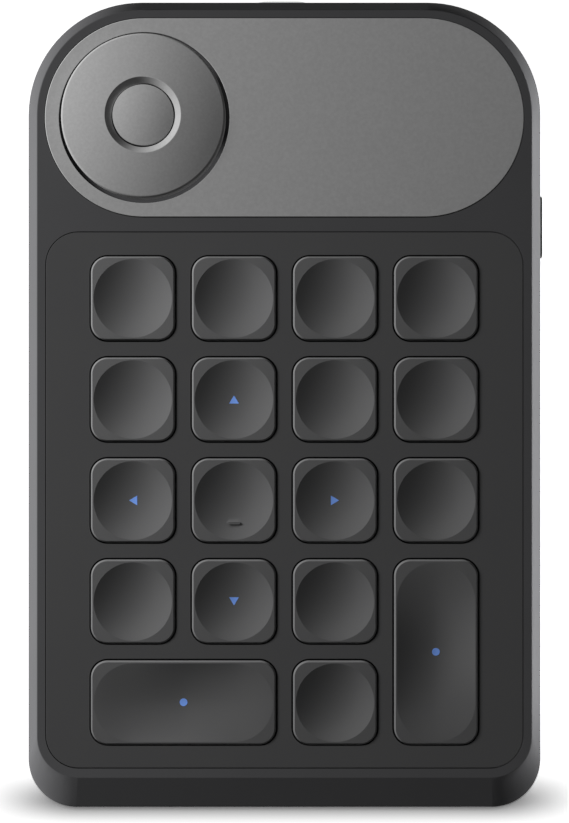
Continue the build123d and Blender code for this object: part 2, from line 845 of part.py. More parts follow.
# ---------------------------------------------------------------- USB-C socket
with BuildPart() as usb_shell:
    with BuildSketch(usb_mouth):
        SlotOverall(usb_width, usb_thickness)
    extrude(amount=usb_depth)
    with BuildSketch(usb_mouth):
        SlotOverall(usb_width - 2 * usb_skin, usb_thickness - 2 * usb_skin)
    extrude(amount=usb_depth - usb_back_wall, mode=Mode.SUBTRACT)
export(usb_shell.part, "usb_shell")

usb_inside = Plane(
    (usb_offset, usb_mouth_y - usb_depth + usb_back_wall, usb_z), x_dir=(-1, 0, 0), z_dir=(0, 1, 0)
)
with BuildPart() as usb_tongue:
    with BuildSketch(usb_inside):
        SlotOverall(usb_width - 2 * usb_skin, usb_thickness - 2 * usb_skin)
    extrude(amount=usb_tongue_root)
    with BuildSketch(usb_inside):
        Rectangle(usb_tongue_width, usb_tongue_thickness)
    extrude(amount=usb_tongue_root + usb_tongue_length)
export(usb_tongue.part, "usb_tongue")

# ---------------------------------------------------------------- power button and its switch
flange_x = case_side_x - wall - power_flange_gap
shaft_end_x = board_side_x + switch_tip + power_travel + dome_gap

with BuildPart() as power_button:
    with BuildSketch(power_face):
        RectangleRounded(power_length, power_height, power_corner_radius)
    extrude(amount=power_proud)
    fillet(power_button.faces().sort_by(Axis.X)[-1].edges(), power_gap)
    with BuildSketch(power_face):
        RectangleRounded(power_length, power_height, power_corner_radius)
    extrude(amount=flange_x - power_flange - case_side_x)
    flange_plane = Plane((flange_x, power_y, power_z), x_dir=(0, 1, 0), z_dir=(-1, 0, 0))
    with BuildSketch(flange_plane):
        Rectangle(power_length + 2 * power_flange_reach, power_height + power_gap)
    extrude(amount=power_flange)
    with BuildSketch(flange_plane):
        Rectangle(power_shaft, power_height / 2)
    extrude(amount=flange_x - shaft_end_x)
export(power_button.part, "power_button")

with BuildPart() as power_switch:
    with BuildSketch(Plane((board_side_x - switch_body / 2, power_y, board_top_z))):
        Rectangle(switch_body, switch_length)
    extrude(amount=switch_height)
    tip_plane = Plane((board_side_x, power_y, power_z), x_dir=(0, 1, 0), z_dir=(1, 0, 0))
    with BuildSketch(tip_plane):
        Rectangle(power_shaft, 2 * switch_tip_radius)
    extrude(amount=switch_tip)
export(power_switch.part, "power_switch")

# ---------------------------------------------------------------- dial
dial_axis = Axis((dial_x, dial_y, 0), (0, 0, 1))
dial_section = Plane((dial_x, dial_y, 0), x_dir=(1, 0, 0), z_dir=(0, -1, 0))


def crown_arc(outer, inner):
    """An arc between two (radius, height) points of a spherical crown that is centred on the axis."""
    centre_z = (outer[0] ** 2 - inner[0] ** 2 + outer[1] ** 2 - inner[1] ** 2) / (2 * (outer[1] - inner[1]))
    radius = hypot(outer[0], outer[1] - centre_z)
    middle_r = (outer[0] + inner[0]) / 2
    return ThreePointArc(outer, (middle_r, centre_z + sqrt(radius**2 - middle_r**2)), inner)


roof_under_z = knob_rim_z - knob_roof
groove_floor = hub_radius - clip_groove_depth
groove_z = clip_z - clip_gap / 3
throat_z = knob_top_z - funnel_depth
lip_z = throat_z - hub_lip

with BuildPart() as dial_knob:
    with BuildSketch(dial_section) as knob_profile:
        with BuildLine():
            Line((knob_radius, knob_z), (knob_radius, knob_rim_z))
            crown_arc((knob_radius, knob_rim_z), (funnel_radius, knob_top_z))
            Polyline(
                (funnel_radius, knob_top_z),
                (funnel_throat_radius, throat_z),
                (funnel_throat_radius, lip_z),
                (hub_bore, lip_z),
                (hub_bore, hub_z),
                (hub_radius, hub_z),
                (hub_radius, groove_z),
                (groove_floor, groove_z),
                (groove_floor, groove_z + clip_thickness + clip_gap),
                (hub_radius, groove_z + clip_thickness + clip_gap),
                (hub_radius, roof_under_z),
                (knob_radius - knob_wall, roof_under_z),
                (knob_radius - knob_wall, knob_z),
                (knob_radius, knob_z),
            )
        make_face()
        fillet(knob_profile.vertices().sort_by_distance((knob_radius, knob_rim_z))[0], knob_rim_fillet)
        fillet(knob_profile.vertices().sort_by_distance((funnel_radius, knob_top_z))[0], funnel_edge)
    revolve(axis=dial_axis)
    # Two slots in the hub's end take the rotor's dogs.
    with BuildSketch(Plane((dial_x, dial_y, hub_z))):
        Rectangle(2 * hub_radius, dog_width + 2 * dog_gap)
    extrude(amount=dog_height - hub_end_gap + dog_gap, mode=Mode.SUBTRACT)
export(dial_knob.part, "dial_knob")

with BuildPart() as dial_clip:
    with BuildSketch(Plane((dial_x, dial_y, clip_z))) as clip_ring:
        Circle(hub_hole_radius + clip_reach)
        Circle(groove_floor + dome_gap, mode=Mode.SUBTRACT)
        with BuildLine():
            opening_reach = 2 * hub_hole_radius
            Polyline(
                (0, 0),
                (opening_reach, -opening_reach * tan(radians(clip_opening / 2))),
                (opening_reach, opening_reach * tan(radians(clip_opening / 2))),
                close=True,
            )
        make_face(mode=Mode.SUBTRACT)
    extrude(amount=clip_thickness)
export(dial_clip.part, "dial_clip")

with BuildPart() as encoder_rotor:
    with BuildSketch(Plane((dial_x, dial_y, rotor_z))):
        Circle(rotor_radius)
        Circle(hub_bore, mode=Mode.SUBTRACT)
    extrude(amount=rotor_thickness)
    with BuildSketch(Plane((dial_x, dial_y, rotor_top_z))):
        Rectangle(2 * hub_radius, dog_width)
        Circle(hub_bore, mode=Mode.SUBTRACT)
    extrude(amount=dog_height)
    with BuildSketch(Plane((dial_x, dial_y, rotor_z))):
        with PolarLocations((rotor_radius + hub_bore) / 2, detent_count):
            Rectangle(2 * (rotor_radius - hub_bore), detent_width)
    extrude(amount=detent_depth, mode=Mode.SUBTRACT)
export(encoder_rotor.part, "encoder_rotor")

spring_z = board_top_z + encoder_floor
with BuildPart() as detent_spring:
    with BuildSketch(Plane((dial_x, dial_y, spring_z))):
        Circle(spring_outer_radius)
        Circle(spring_inner_radius, mode=Mode.SUBTRACT)
    extrude(amount=spring_thickness)
    with BuildSketch(Plane((dial_x, dial_y, spring_z))):
        with PolarLocations((spring_outer_radius + spring_inner_radius) / 2, 2):
            Rectangle(spring_outer_radius - spring_inner_radius - 2 * spring_thickness, spring_ridge_width)
    extrude(amount=spring_rise + detent_depth / 2)
export(detent_spring.part, "detent_spring")

relief_top_z = button_lug_z + button_lug_height + clip_gap
with BuildPart() as encoder_body:
    with BuildSketch(dial_section):
        with BuildLine():
            Polyline(
                (post_relief_bore, board_top_z),
                (encoder_radius, board_top_z),
                (encoder_radius, rotor_top_z + running_gap),
                (encoder_radius - encoder_wall, rotor_top_z + running_gap),
                (encoder_radius - encoder_wall, spring_z),
                (post_outer_radius, spring_z),
                (post_outer_radius, post_top_z),
                (post_bore, post_top_z),
                (post_bore, relief_top_z),
                (post_relief_bore, relief_top_z),
                close=True,
            )
        make_face()
    revolve(axis=dial_axis)
export(encoder_body.part, "encoder_body")

# ---------------------------------------------------------------- dial button and its snap dome
plunger_z = board_top_z + snap_dome_height + snap_dome_gap
button_plate_z = button_under_z - button_skirt_wall
button_top_z = button_rim_z + button_dome_rise
button_crown_radius = (button_radius**2 + button_dome_rise**2) / (2 * button_dome_rise)

with BuildPart() as dial_button:
    with BuildSketch(dial_section):
        with BuildLine():
            Polyline(
                (button_radius, button_under_z),
                (button_radius, button_top_z),
                (0, button_top_z),
                (0, plunger_z),
                (button_plunger_radius, plunger_z),
                (button_plunger_radius, button_plate_z),
                (button_skirt_radius - button_skirt_wall, button_plate_z),
                (button_skirt_radius - button_skirt_wall, button_lug_z),
                (button_skirt_radius, button_lug_z),
                (button_skirt_radius, button_under_z),
                close=True,
            )
        make_face()
    revolve(axis=dial_axis)
    with Locations((dial_x, dial_y, button_top_z - button_crown_radius)):
        Sphere(button_crown_radius, rotation=(90, 0, 0), mode=Mode.INTERSECT)
    chamfer(dial_button.edges().filter_by(GeomType.CIRCLE).sort_by(Axis.Z)[-1], button_edge)
    # Two lugs snap under the ledge in the post and hold the button in.
    with BuildSketch(Plane((dial_x, dial_y, button_lug_z))):
        Rectangle(2 * (button_skirt_radius + button_lug_reach), button_lug_width)
        Circle(button_skirt_radius - button_skirt_wall / 2, mode=Mode.SUBTRACT)
    extrude(amount=button_lug_height)
export(dial_button.part, "dial_button")

with BuildPart() as button_switch:
    snap_top = board_top_z + snap_dome_height
    with BuildSketch(dial_section):
        with BuildLine():
            crown_arc((snap_dome_radius, board_top_z), (0, snap_top))
            Line((0, snap_top), (0, snap_top - snap_dome_skin))
            crown_arc((snap_dome_radius - snap_dome_skin, board_top_z), (0, snap_top - snap_dome_skin))
            Line((snap_dome_radius - snap_dome_skin, board_top_z), (snap_dome_radius, board_top_z))
        make_face()
    revolve(axis=dial_axis)
export(button_switch.part, "button_switch")
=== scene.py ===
"""Dresses the keypad's construction model: finishes, printed marks, socket contacts and the studio round it.

Every length is given in millimetres and turned to metres where Blender needs it. +Z is up, +Y is the keypad's
back edge, and the desk is at height 0.
"""

import logging
import math
from dataclasses import dataclass, field
from enum import Enum
from typing import Any, Optional

import bmesh
import bpy
from bmesh.types import BMesh, BMVert
from bpy.types import ID, Collection, Material, Node, NodeTree, Object
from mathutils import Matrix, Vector


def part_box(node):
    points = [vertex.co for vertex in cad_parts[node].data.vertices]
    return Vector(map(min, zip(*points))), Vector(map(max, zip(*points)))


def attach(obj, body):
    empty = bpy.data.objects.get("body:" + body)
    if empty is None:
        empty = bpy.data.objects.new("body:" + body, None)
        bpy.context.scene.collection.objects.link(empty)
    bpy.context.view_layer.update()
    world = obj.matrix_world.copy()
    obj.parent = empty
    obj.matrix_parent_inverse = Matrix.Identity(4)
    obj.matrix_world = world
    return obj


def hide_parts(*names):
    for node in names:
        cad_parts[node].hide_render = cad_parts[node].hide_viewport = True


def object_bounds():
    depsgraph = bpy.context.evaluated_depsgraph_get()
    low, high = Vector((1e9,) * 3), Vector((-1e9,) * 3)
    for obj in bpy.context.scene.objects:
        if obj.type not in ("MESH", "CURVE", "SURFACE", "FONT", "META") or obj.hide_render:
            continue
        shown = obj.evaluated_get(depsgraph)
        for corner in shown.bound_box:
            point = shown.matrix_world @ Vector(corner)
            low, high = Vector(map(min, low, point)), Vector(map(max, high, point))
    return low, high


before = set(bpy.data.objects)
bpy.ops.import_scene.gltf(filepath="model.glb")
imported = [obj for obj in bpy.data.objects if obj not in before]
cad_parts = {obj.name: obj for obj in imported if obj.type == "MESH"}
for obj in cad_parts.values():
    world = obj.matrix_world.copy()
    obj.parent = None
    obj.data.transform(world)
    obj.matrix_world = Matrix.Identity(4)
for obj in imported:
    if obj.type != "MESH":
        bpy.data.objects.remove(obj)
construction_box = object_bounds()

MM = 0.001
FACET_JOIN_MM = 0.0005
SHARP_ANGLE = math.radians(30)
EDGE_STEPS = 2
PLASTIC_IOR = 1.5
Link = tuple[Node, Any]  # a node and the name of one of its outputs
log = logging.getLogger("keypad")


# ---------------- colours and nodes
def linear(hex_colour: str) -> tuple[float, float, float, float]:
    """Turn an sRGB hex colour into the linear colour that a shader takes.

    Args:
        hex_colour: The colour as "#rrggbb".

    Returns:
        Linear red, green, blue and an alpha of 1.
    """
    channels = [int(hex_colour[start : start + 2], 16) / 255 for start in (1, 3, 5)]
    red, green, blue = (c / 12.92 if c <= 0.04045 else ((c + 0.055) / 1.055) ** 2.4 for c in channels)
    return red, green, blue, 1.0


def add_node(
    tree: NodeTree, kind: str, settings: Optional[dict] = None, inputs: Optional[dict] = None
) -> Node:
    """Add one shader node with its settings, socket values and links.

    Args:
        tree: The node tree that takes the node.
        kind: The node's type, such as "ShaderNodeBump".
        settings: Values for the node's own properties.
        inputs: For each input socket, by name or number, a value or a (node, output) pair to link.

    Returns:
        The new node.
    """
    node = tree.nodes.new(kind)
    for name, value in (settings or {}).items():
        setattr(node, name, value)
    for name, value in (inputs or {}).items():
        if isinstance(value, tuple) and isinstance(value[0], Node):
            tree.links.new(value[0].outputs[value[1]], node.inputs[name])
        else:
            node.inputs[name].default_value = value
    return node


def empty_tree(owner: ID) -> NodeTree:
    """Turn on the nodes of a material or a world, and empty their tree.

    Args:
        owner: The material or the world.

    Returns:
        The empty tree.
    """
    owner.use_nodes = True
    owner.node_tree.nodes.clear()
    return owner.node_tree


def new_material(name: str) -> tuple[Material, NodeTree, Link]:
    """Make a material for a textured piece.

    Args:
        name: The material's name.

    Returns:
        The material, its empty tree, and the place on the piece that its textures follow.
    """
    material = bpy.data.materials.new(name)
    tree = empty_tree(material)
    return material, tree, (add_node(tree, "ShaderNodeTexCoord"), "Object")


def texture(tree: NodeTree, kind: str, place: Link, size_mm: float, **inputs: Any) -> Node:
    """Add a procedural texture, such as Noise, whose features have a real size in millimetres."""
    scale = 1 / (size_mm * MM)
    return add_node(tree, f"ShaderNodeTex{kind}", inputs={"Vector": place, "Scale": scale, **inputs})


def blend(tree: NodeTree, factor: Link, first: str, second: str) -> Link:
    """Blend two sRGB hex colours: a factor of 0 gives the first and 1 the second."""
    colours = {"Factor": factor, "A": linear(first), "B": linear(second)}
    return add_node(tree, "ShaderNodeMix", {"data_type": "RGBA"}, colours), "Result"


def vary(tree: NodeTree, pattern: Link, middle: float, reach: float) -> Link:
    """Let a value follow a pattern of 0 to 1, as far as its reach to each side of its middle."""
    ends = {"Value": pattern, "To Min": middle - reach, "To Max": middle + reach}
    return add_node(tree, "ShaderNodeMapRange", inputs=ends), "Result"


def emboss(tree: NodeTree, height: Link, depth_mm: float, strength: float = 1.0) -> Link:
    """Turn a pattern of 0 to 1 into the normal of a surface embossed to a depth in millimetres."""
    sockets = {"Height": height, "Distance": depth_mm * MM, "Strength": strength}
    return add_node(tree, "ShaderNodeBump", inputs=sockets), "Normal"


def number_step(tree: NodeTree, operation: str, *values: Any) -> Link:
    """One step of arithmetic on numbers."""
    return add_node(tree, "ShaderNodeMath", {"operation": operation}, dict(enumerate(values))), "Value"


def vector_step(tree: NodeTree, operation: str, *values: Any) -> Node:
    """One step of arithmetic on vectors."""
    return add_node(tree, "ShaderNodeVectorMath", {"operation": operation}, dict(enumerate(values)))


def close_material(material: Material, sockets: dict[str, Any]) -> Material:
    """Close a material with one principled surface.

    Args:
        material: The material.
        sockets: Values and links for the surface's own sockets, by name.

    Returns:
        The finished material.
    """
    shader = add_node(material.node_tree, "ShaderNodeBsdfPrincipled", inputs=sockets)
    add_node(material.node_tree, "ShaderNodeOutputMaterial", inputs={"Surface": (shader, "BSDF")})
    return material


def mix_surface(tree: NodeTree, factor: Link, first: Link, second: Link, kind: str) -> None:
    """Close the tree of a "Material" or the "World" with two shaders, mixed by a factor of 0 to 1."""
    shader = add_node(tree, "ShaderNodeMixShader", inputs={0: factor, 1: first, 2: second})
    add_node(tree, f"ShaderNodeOutput{kind}", inputs={"Surface": (shader, "Shader")})


# ---------------- finishes
@dataclass(frozen=True)
class MouldedPlastic:
    """Plastic shot into a spark-eroded steel mould: matt, with a fine pebble grain that breaks up highlights.

    The grain of such a mould is about 0.1 mm, too fine for the picture, so it is drawn a few times as coarse.
    Seams and tight corners are darkened in the colour by an ambient-occlusion node: painted shade where
    little light gets in.
    """

    name: str
    colour: str
    drift_colour: str
    roughness: float = 0.5
    roughness_reach: float = 0.05
    specular: float = 0.15
    grain_mm: float = 0.38
    grain_depth_mm: float = 0.004
    drift_mm: float = 14.0
    seam_shade_mm: float = 0.3
    seam_shade_samples: int = 8

    def build(self) -> Material:
        """Build the material: a slow drift of colour, a pebble grain, uneven gloss, and painted shade in the
        seams.

        Returns:
            The material.
        """
        material, tree, place = new_material(self.name)
        drift = texture(tree, "Noise", place, self.drift_mm, Detail=3.0)
        colour = blend(tree, (drift, "Fac"), self.colour, self.drift_colour)
        # Painted shade: an ambient-occlusion node darkens the colour in seams and tight corners.
        seam_shade_inputs = {"Color": colour, "Distance": self.seam_shade_mm * MM}
        painted_seam_shade = add_node(tree, "ShaderNodeAmbientOcclusion", {"samples": self.seam_shade_samples}, seam_shade_inputs)
        grain = texture(tree, "Noise", place, self.grain_mm, Detail=2.0, Roughness=0.55)
        sockets = {
            "Base Color": (painted_seam_shade, "Color"),
            "Roughness": vary(tree, (grain, "Fac"), self.roughness, self.roughness_reach),
            "Normal": emboss(tree, (grain, "Fac"), self.grain_depth_mm),
            "Specular IOR Level": self.specular,
            "IOR": PLASTIC_IOR,
        }
        return close_material(material, sockets)


@dataclass(frozen=True)
class KeyCapPlastic:
    """PBT key caps: matt plastic whose scooped middle is polished a little by fingertips.

    The polish is a soft disc at every place of the key grid, so one material serves all the caps. The grain
    is drawn about three times as coarse as the mould's, which is too fine for the picture.
    """

    name: str
    colour: str
    drift_colour: str
    grid_origin_mm: tuple[float, float] = (0.0, 0.0)
    pitch_mm: float = 19.05
    roughness: float = 0.5
    polished_roughness: float = 0.42
    polish_radius_mm: float = 6.5
    specular: float = 0.15
    grain_mm: float = 0.32
    grain_depth_mm: float = 0.003
    drift_mm: float = 9.0

    def build(self) -> Material:
        """Build the material: grain everywhere, and less roughness towards the middle of each dish.

        Returns:
            The material.
        """
        material, tree, place = new_material(self.name)
        half = self.pitch_mm / 2 * MM
        origin_x, origin_y = self.grid_origin_mm
        shifted = vector_step(tree, "SUBTRACT", place, (origin_x * MM, origin_y * MM, 0.0))
        in_cell = vector_step(tree, "WRAP", (shifted, "Vector"), (half, half, half), (-half, -half, -half))
        flat = vector_step(tree, "MULTIPLY", (in_cell, "Vector"), (1.0, 1.0, 0.0))
        radius = vector_step(tree, "LENGTH", (flat, "Vector"))
        ends = {
            "Value": (radius, "Value"),
            "From Max": self.polish_radius_mm * MM,
            "To Min": self.polished_roughness,
            "To Max": self.roughness,
        }
        polish = add_node(tree, "ShaderNodeMapRange", {"interpolation_type": "SMOOTHSTEP"}, ends)
        drift = texture(tree, "Noise", place, self.drift_mm, Detail=3.0)
        grain = texture(tree, "Noise", place, self.grain_mm, Detail=2.0)
        sockets = {
            "Base Color": blend(tree, (drift, "Fac"), self.colour, self.drift_colour),
            "Roughness": (polish, "Result"),
            "Normal": emboss(tree, (grain, "Fac"), self.grain_depth_mm),
            "Specular IOR Level": self.specular,
            "IOR": PLASTIC_IOR,
        }
        return close_material(material, sockets)


@dataclass(frozen=True)
class BlastedAluminium:
    """Bead-blasted aluminium, anodised grey: the pits scatter light, so it shades softly like satin paint.

    The pits of such a blast are about 0.05 mm, and are drawn coarser. Their faint sparkle is painted: lighter
    patches in the colour.
    """

    name: str
    colour: str
    sparkle_colour: str
    metallic: float = 0.12
    roughness: float = 0.55
    specular: float = 0.2
    pit_mm: float = 0.3
    pit_depth_mm: float = 0.0025
    cloud_in_pits: float = 2.0
    sparkle_from: float = 0.35
    sparkle_full: float = 0.75

    def build(self) -> Material:
        """Build the material: cell-like pits in the surface, with a few brighter grains of painted sparkle.

        Returns:
            The material.
        """
        material, tree, place = new_material(self.name)
        pits = texture(tree, "Voronoi", place, self.pit_mm)
        cloud = texture(tree, "Noise", place, self.cloud_in_pits * self.pit_mm, Detail=4.0)
        # Painted sparkle: lighter patches of the colour stand in for glints off the pits.
        ends = {"Value": (cloud, "Fac"), "From Min": self.sparkle_from, "From Max": self.sparkle_full}
        sparkle = add_node(tree, "ShaderNodeMapRange", inputs=ends)
        sockets = {
            "Base Color": blend(tree, (sparkle, "Result"), self.colour, self.sparkle_colour),
            "Metallic": self.metallic,
            "Roughness": self.roughness,
            "Normal": emboss(tree, (pits, "Distance"), self.pit_depth_mm),
            "Specular IOR Level": self.specular,
        }
        return close_material(material, sockets)


@dataclass(frozen=True)
class DrawnMetal:
    """Sheet or wire metal, rolled or drawn: fine scratches along one direction stretch its reflections.

    Real scratches are too fine for the picture, so these are coarser.
    """

    name: str
    colour: str
    roughness: float = 0.28
    roughness_reach: float = 0.08
    scratch_mm: float = 0.12
    scratch_stretch: tuple[float, float, float] = (1.0, 12.0, 1.0)
    scratch_depth_mm: float = 0.001

    def build(self) -> Material:
        """Build the material: stretched noise for the scratches, on a bare metal.

        Returns:
            The material.
        """
        material, tree, place = new_material(self.name)
        squeeze = tuple(1 / stretch for stretch in self.scratch_stretch)
        along = add_node(tree, "ShaderNodeMapping", inputs={"Vector": place, "Scale": squeeze})
        scratches = texture(tree, "Noise", (along, "Vector"), self.scratch_mm, Detail=3.0)
        sockets = {
            "Base Color": linear(self.colour),
            "Metallic": 1.0,
            "Roughness": vary(tree, (scratches, "Fac"), self.roughness, self.roughness_reach),
            "Normal": emboss(tree, (scratches, "Fac"), self.scratch_depth_mm),
        }
        return close_material(material, sockets)


@dataclass(frozen=True)
class MouldedRubber:
    """Silicone or rubber pressed in a mould: very matt, with a bloom of talc, drawn coarser than it is."""

    name: str
    colour: str
    bloom_colour: str
    roughness: float = 0.75
    bloom_mm: float = 1.6
    grain_mm: float = 0.25
    grain_depth_mm: float = 0.006
    specular: float = 0.25
    ior: float = 1.42

    def build(self) -> Material:
        """Build the material: patches of bloom over a fine dusty grain.

        Returns:
            The material.
        """
        material, tree, place = new_material(self.name)
        bloom = texture(tree, "Noise", place, self.bloom_mm, Detail=5.0)
        grain = texture(tree, "Noise", place, self.grain_mm, Detail=1.0)
        sockets = {
            "Base Color": blend(tree, (bloom, "Fac"), self.colour, self.bloom_colour),
            "Roughness": self.roughness,
            "Normal": emboss(tree, (grain, "Fac"), self.grain_depth_mm),
            "Specular IOR Level": self.specular,
            "IOR": self.ior,
        }
        return close_material(material, sockets)


@dataclass(frozen=True)
class BoardLaminate:
    """Glass-epoxy circuit board: a woven glass cloth shows through its glossy black solder mask."""

    name: str = "black_solder_mask"
    mask_colour: str = "#1b2320"
    thread_colour: str = "#26302c"
    thread_mm: float = 0.5
    thread_depth_mm: float = 0.002
    thread_strength: float = 0.5
    roughness: float = 0.3

    def build(self) -> Material:
        """Build the material: a checked weave at the pitch of the glass threads.

        Returns:
            The material.
        """
        material, tree, place = new_material(self.name)
        threads = {"Color1": linear(self.mask_colour), "Color2": linear(self.thread_colour)}
        weave = texture(tree, "Checker", place, self.thread_mm, **threads)
        sockets = {
            "Base Color": (weave, "Color"),
            "Roughness": self.roughness,
            "Normal": emboss(tree, (weave, "Fac"), self.thread_depth_mm, self.thread_strength),
            "IOR": PLASTIC_IOR,
        }
        return close_material(material, sockets)


@dataclass(frozen=True)
class CrinkledFoil:
    """The laminated foil pouch of a lithium cell: dull silver with shallow creases."""

    name: str = "pouch_foil"
    colour: str = "#b9bcc0"
    roughness: float = 0.38
    crease_mm: float = 3.5
    crease_depth_mm: float = 0.05
    crease_strength: float = 0.6

    def build(self) -> Material:
        """Build the material: cell-edge creases in a metal skin.

        Returns:
            The material.
        """
        material, tree, place = new_material(self.name)
        creases = texture(tree, "Voronoi", place, self.crease_mm)
        creases.feature = "DISTANCE_TO_EDGE"
        sockets = {
            "Base Color": linear(self.colour),
            "Metallic": 1.0,
            "Roughness": self.roughness,
            "Normal": emboss(tree, (creases, "Distance"), self.crease_depth_mm, self.crease_strength),
        }
        return close_material(material, sockets)


@dataclass(frozen=True)
class PadPrintInk:
    """Ink printed from a silicone pad: a thin, slightly uneven film, a bit glossier than the cap."""

    name: str = "blue_pad_print"
    colour: str = "#82acfc"
    thin_colour: str = "#78a2f4"
    speckle_mm: float = 0.18
    roughness: float = 0.4
    specular: float = 0.3

    def build(self) -> Material:
        """Build the material: two blues that follow the thickness of the ink film.

        Returns:
            The material.
        """
        material, tree, place = new_material(self.name)
        film = texture(tree, "Noise", place, self.speckle_mm, Detail=2.0)
        sockets = {
            "Base Color": blend(tree, (film, "Fac"), self.colour, self.thin_colour),
            "Roughness": self.roughness,
            "Specular IOR Level": self.specular,
            "IOR": PLASTIC_IOR,
        }
        return close_material(material, sockets)


class Finishes:
    """Every finish of the keypad, built once."""

    def __init__(self) -> None:
        """Build each material from the real one's description."""
        # Black ABS, moulded: a matt shell that lets its sloping edges catch the light.
        self.case = MouldedPlastic("black_moulded_abs", "#3d3d3e", "#3a3a3b", specular=0.012).build()
        # The same ABS in a finer mould texture: a shade quieter than the case round it.
        self.deck = MouldedPlastic(
            "black_textured_abs_plate",
            "#3a3a3a",
            "#373738",
            specular=0.17,
            grain_mm=0.3,
            grain_depth_mm=0.003,
        ).build()
        key_low, key_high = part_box("key_r1_c1")
        middle = (key_low + key_high) / 2 / MM
        # Charcoal PBT caps: lighter than the deck, with a soft sheen in the scoops.
        self.cap = KeyCapPlastic(
            "charcoal_pbt_cap", "#5a5a5a", "#575758", grid_origin_mm=(middle.x, middle.y), specular=0.1
        ).build()
        # Gloss black polycarbonate: the small side button reads as a dark line.
        self.side_button = MouldedPlastic(
            "black_polycarbonate_button", "#111112", "#0e0e0f", roughness=0.3, grain_depth_mm=0.001
        ).build()
        # Grey anodised aluminium: the one light surface, with a slow fall-off across it.
        self.panel = BlastedAluminium(
            "grey_anodised_aluminium", "#7b7b7b", "#818181", metallic=0.04, specular=0.05
        ).build()
        # The dial is turned before it is blasted, so it is a shade smoother.
        self.dial = BlastedAluminium(
            "grey_turned_anodised_aluminium",
            "#7a7a7a",
            "#808080",
            metallic=0.08,
            specular=0.08,
            roughness=0.5,
            pit_mm=0.26,
        ).build()
        # Its button is pressed and blasted from the same sheet as the panel, and looks more even.
        self.dial_button = BlastedAluminium(
            "grey_pressed_anodised_aluminium", "#7e7e7e", "#848484", metallic=0.03, specular=0.06, pit_mm=0.26
        ).build()
        # Unpainted nylon and acetal inside: dull dark grey.
        self.inner_plastic = MouldedPlastic(
            "grey_glass_filled_nylon", "#2b2c2e", "#242527", roughness=0.6, grain_mm=0.5
        ).build()
        self.board = BoardLaminate().build()
        # Epoxy chip package: flat black with a sandy surface.
        self.chip = MouldedPlastic(
            "black_epoxy_package", "#161617", "#1c1c1d", roughness=0.45, grain_mm=0.2
        ).build()
        self.battery = CrinkledFoil().build()
        # Nickel-plated steel of the socket shell: the only bright metal outside.
        self.bright_steel = DrawnMetal("nickel_plated_steel", "#c2c3c5").build()
        # Oiled spring steel of wires, clips and screws.
        self.dark_steel = DrawnMetal("blackened_spring_steel", "#55555a", roughness=0.35).build()
        # Gold flash on the socket's contacts.
        self.gold = DrawnMetal("gold_flash_contact", "#e6b65a", roughness=0.22).build()
        # Black rubber feet, and translucent-looking white silicone domes.
        self.feet = MouldedRubber("black_foot_rubber", "#1d1d1f", "#2a2a2c").build()
        self.silicone = MouldedRubber("milky_silicone", "#c9ccd0", "#dadde0", roughness=0.5).build()
        self.ink = PadPrintInk().build()


# ---------------- helpers for pieces
def dress_node(name: str, material: Material, edge_mm: float = 0.0) -> None:
    """Give a construction node its finish, and round its sharp edges.

    Args:
        name: The node's name.
        material: The finish for its one material slot.
        edge_mm: The width of the rounding on its sharp edges, or 0 for none.
    """
    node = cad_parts[name]
    node.material_slots[0].material = material
    if edge_mm:
        weld = node.modifiers.new("join_facets", "WELD")
        weld.merge_threshold = FACET_JOIN_MM * MM
        break_edges(node, edge_mm)
    log.info("dressed %s with %s", name, material.name)


def break_edges(piece: Object, edge_mm: float) -> None:
    """Round the sharp edges of a piece, as moulding and finishing leave them.

    Args:
        piece: The object.
        edge_mm: The width of the rounding.
    """
    bevel = piece.modifiers.new("break_edges", "BEVEL")
    bevel.width = edge_mm * MM
    bevel.segments = EDGE_STEPS
    bevel.limit_method = "ANGLE"
    bevel.angle_limit = SHARP_ANGLE
    bevel.harden_normals = True
    bevel.miter_outer = "MITER_ARC"


def turned(ring: list[BMVert]) -> list[BMVert]:
    """A ring of vertices, started one place further on."""
    return [*ring[1:], ring[0]]


def level_rectangle(low: Vector, high: Vector) -> BMesh:
    """Make a level rectangle.

    Args:
        low: Its corner that is lowest in X and Y, in metres.
        high: The corner across from it, at the same height.

    Returns:
        The mesh.
    """
    mesh = bmesh.new()
    corners = ((low.x, low.y), (high.x, low.y), (high.x, high.y), (low.x, high.y))
    mesh.faces.new([mesh.verts.new((x, y, low.z)) for x, y in corners])
    return mesh


def mesh_object(name: str, mesh: BMesh, material: Material) -> Object:
    """Turn a finished bmesh into an object.

    Args:
        name: The object's name.
        mesh: Its geometry in metres, in the shared frame. It is freed here.
        material: Its finish.

    Returns:
        The new object.
    """
    data = bpy.data.meshes.new(name)
    mesh.to_mesh(data)
    mesh.free()
    data.materials.append(material)
    piece = bpy.data.objects.new(name, data)
    bpy.context.scene.collection.objects.link(piece)
    return piece


def add_piece(name: str, mesh: BMesh, material: Material, body: str) -> Object:
    """Turn a finished bmesh into a piece that rides on a body.

    Args:
        name: The piece's name.
        mesh: Its geometry in metres, in the shared frame. It is freed here.
        material: Its finish.
        body: The body that carries it.

    Returns:
        The new object.
    """
    piece = mesh_object(name, mesh, material)
    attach(piece, body)
    log.info("built %s on %s", name, body)
    return piece


# ---------------- sub-assemblies
@dataclass
class CaseShells:
    """The top case and base shell, with the screws and feet under them."""

    shell_edge_mm: float = 0.05
    screw_edge_mm: float = 0.06
    foot_edge_mm: float = 0.1

    def dress(self, finishes: Finishes) -> None:
        """Finish the shells, feet and screws.

        Args:
            finishes: The keypad's finishes.
        """
        dress_node("top_case", finishes.case, self.shell_edge_mm)
        dress_node("base_shell", finishes.case, self.shell_edge_mm)
        dress_node("rubber_feet", finishes.feet, self.foot_edge_mm)
        dress_node("case_screws", finishes.dark_steel, self.screw_edge_mm)


